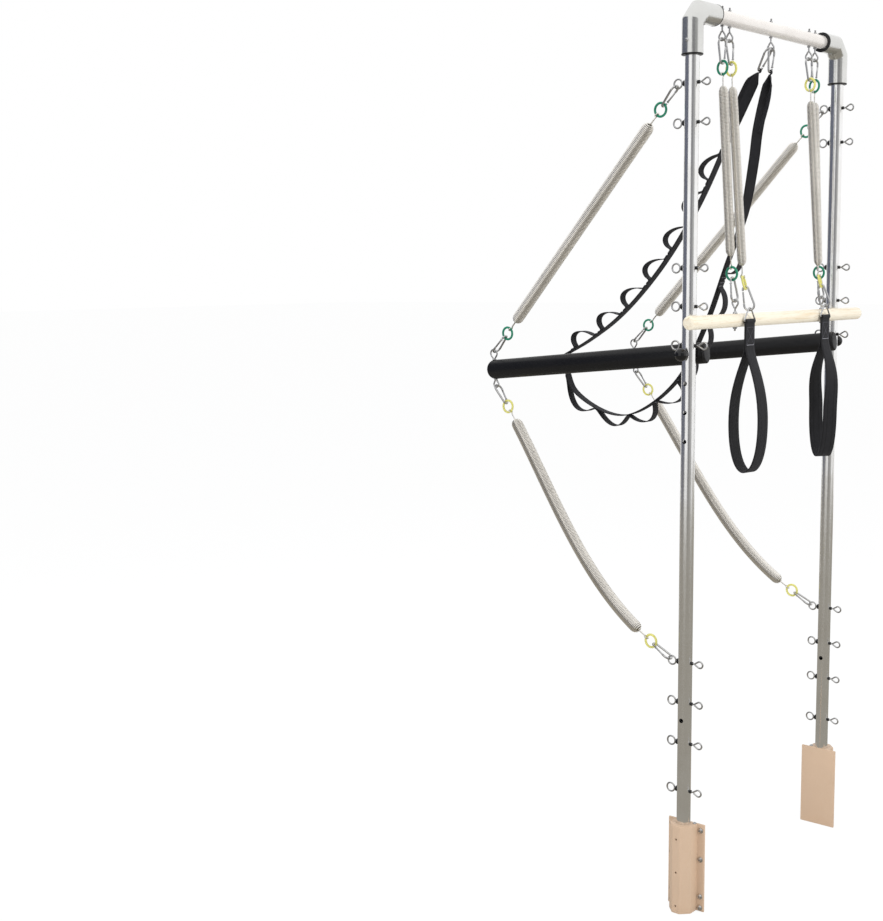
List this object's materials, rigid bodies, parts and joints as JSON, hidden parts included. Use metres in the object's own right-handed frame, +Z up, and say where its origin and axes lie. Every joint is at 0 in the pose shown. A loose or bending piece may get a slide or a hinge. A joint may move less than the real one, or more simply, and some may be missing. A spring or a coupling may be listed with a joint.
{
  "type": "pilates tower unit",
  "caption": "Upright tubular tower for a pilates bench, with a sprung push-through bar, a hung roll-down bar, foot loops and a hand-loop strap",
  "frame": {"origin": "midway between the two posts' axes, level with the lower ends of the posts and brackets", "axes": "+X from post to post, to the side of the post nearer the camera in the picture; +Y away from the push-through bar, along the bench; +Z up along the posts"},
  "size_m": [0.84, 0.6996, 2.063],
  "materials": {
    "chrome": "plated, smooth",
    "cast_alloy": "cast, satin",
    "steel": "zinc plated",
    "spring_wire": "plated wire",
    "sand_paint": "powder coat, fine speckle",
    "black_paint": "powder coat, satin",
    "black_plastic": "satin",
    "beech": "clear lacquer",
    "webbing": "woven"
  },
  "bodies": {
    "frame": {"post_right": "chrome", "post_left": "chrome", "crossbar": "chrome", "elbow_right": "cast_alloy", "elbow_left": "cast_alloy", "post_bush_right": "black_plastic", "post_bush_left": "black_plastic", "crossbar_bush_right": "black_plastic", "crossbar_bush_left": "black_plastic", "bracket_right": "sand_paint", "bracket_left": "sand_paint", "hook_outer_right": "steel", "hook_inner_right": "steel", "hook_middle": "steel", "hook_inner_left": "steel", "hook_outer_left": "steel", "pin_collar_right": "black_plastic", "pin_collar_left": "black_plastic", "strap_front_link": "steel", "strap_rear_link": "steel", "hand_loop_strap": "webbing", "arm_upper_right_spring": "spring_wire", "arm_upper_left_spring": "spring_wire", "arm_lower_right_spring": "spring_wire", "arm_lower_left_spring": "spring_wire", "arm_upper_right_upper_link": "steel", "arm_upper_left_upper_link": "steel", "arm_lower_right_lower_link": "steel", "arm_lower_left_lower_link": "steel"},
    "push_through": {"push_through_bar": "black_paint", "end_plug_right": "black_plastic", "end_plug_left": "black_plastic", "corner_eye_bolt_right": "steel", "corner_eye_bolt_left": "steel", "arm_upper_right_lower_link": "steel", "arm_upper_left_lower_link": "steel", "arm_lower_right_upper_link": "steel", "arm_lower_left_upper_link": "steel"},
    "roll_down": {"roll_down_bar": "beech", "roll_down_eye_right": "steel", "roll_down_eye_left": "steel", "roll_down_right_upper_link": "steel", "roll_down_right_lower_link": "steel", "roll_down_right_spring": "spring_wire", "roll_down_left_upper_link": "steel", "roll_down_left_lower_link": "steel", "roll_down_left_spring": "spring_wire"},
    "foot_loop_right_line": {"foot_right_upper_link": "steel", "foot_right_spring": "spring_wire", "foot_right_lower_link": "steel", "loop_triangle_right": "steel", "foot_loop_right": "webbing"},
    "foot_loop_left_line": {"foot_left_upper_link": "steel", "foot_left_spring": "spring_wire", "foot_left_lower_link": "steel", "loop_triangle_left": "steel", "foot_loop_left": "webbing"},
    "pull_pin_right_slide": {"pull_pin_right": "black_plastic"},
    "pull_pin_left_slide": {"pull_pin_left": "black_plastic"}
  },
  "joints": [
    {"name": "push_through_pivot", "type": "hinge", "parent": "frame", "child": "push_through", "pos_m": [0, 0, 1.297], "axis": [1, 0, 0], "range_deg": [-60, 45], "stiffness_Nm_per_rad": 60, "springref_deg": -12.15, "deforming": ["arm_upper_right_spring", "arm_upper_left_spring", "arm_lower_right_spring", "arm_lower_left_spring", "hand_loop_strap"]},
    {"name": "roll_down_swing", "type": "hinge", "parent": "frame", "child": "roll_down", "pos_m": [0, 0, 1.998], "axis": [1, 0, 0], "range_deg": [0, 38]},
    {"name": "foot_loop_right_swing", "type": "hinge", "parent": "roll_down", "child": "foot_loop_right_line", "pos_m": [0, 0, 1.998], "axis": [1, 0, 0], "range_deg": [0, 25]},
    {"name": "foot_loop_left_swing", "type": "hinge", "parent": "roll_down", "child": "foot_loop_left_line", "pos_m": [0, 0, 1.998], "axis": [1, 0, 0], "range_deg": [0, 25]},
    {"name": "pull_pin_right_pull", "type": "slide", "parent": "frame", "child": "pull_pin_right_slide", "axis": [1, 0, 0], "range_m": [0, 0.018]},
    {"name": "pull_pin_left_pull", "type": "slide", "parent": "frame", "child": "pull_pin_left_slide", "axis": [-1, 0, 0], "range_m": [0, 0.018]}
  ]
}
